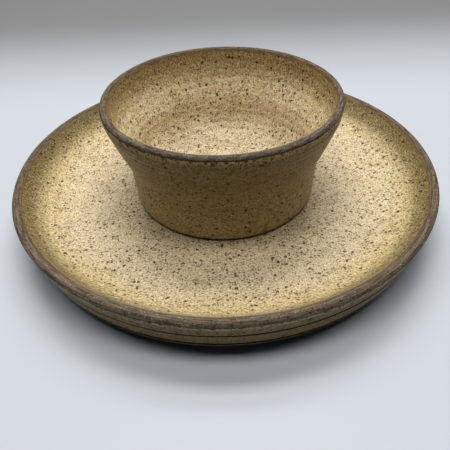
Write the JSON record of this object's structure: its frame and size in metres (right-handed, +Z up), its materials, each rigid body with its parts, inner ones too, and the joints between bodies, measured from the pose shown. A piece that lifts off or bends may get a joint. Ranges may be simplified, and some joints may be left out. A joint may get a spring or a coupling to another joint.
{
  "type": "chip and dip server",
  "caption": "Round stoneware platter with a raised wall, and a flared dip bowl that stands in a shallow seat at its centre and lifts off.",
  "frame": {"origin": "middle of the platter's foot ring, on the surface that it stands on", "axes": "+Z up along the turning axis of both pieces; X and Y are alike"},
  "size_m": [0.3, 0.3, 0.0895],
  "materials": {
    "platter_glaze": "satin straw-coloured glaze with iron specks, over buff stoneware left bare at the lip and foot",
    "bowl_glaze": "satin straw-coloured glaze with iron specks, over buff stoneware left bare at the lip and foot"
  },
  "bodies": {
    "platter": {"platter": "platter_glaze"},
    "dip_bowl": {"dip_bowl": "bowl_glaze"}
  },
  "joints": [
    {"name": "bowl_lift", "type": "slide", "parent": "platter", "child": "dip_bowl", "axis": [0, 0, 1], "range_m": [0, 0.1]}
  ]
}
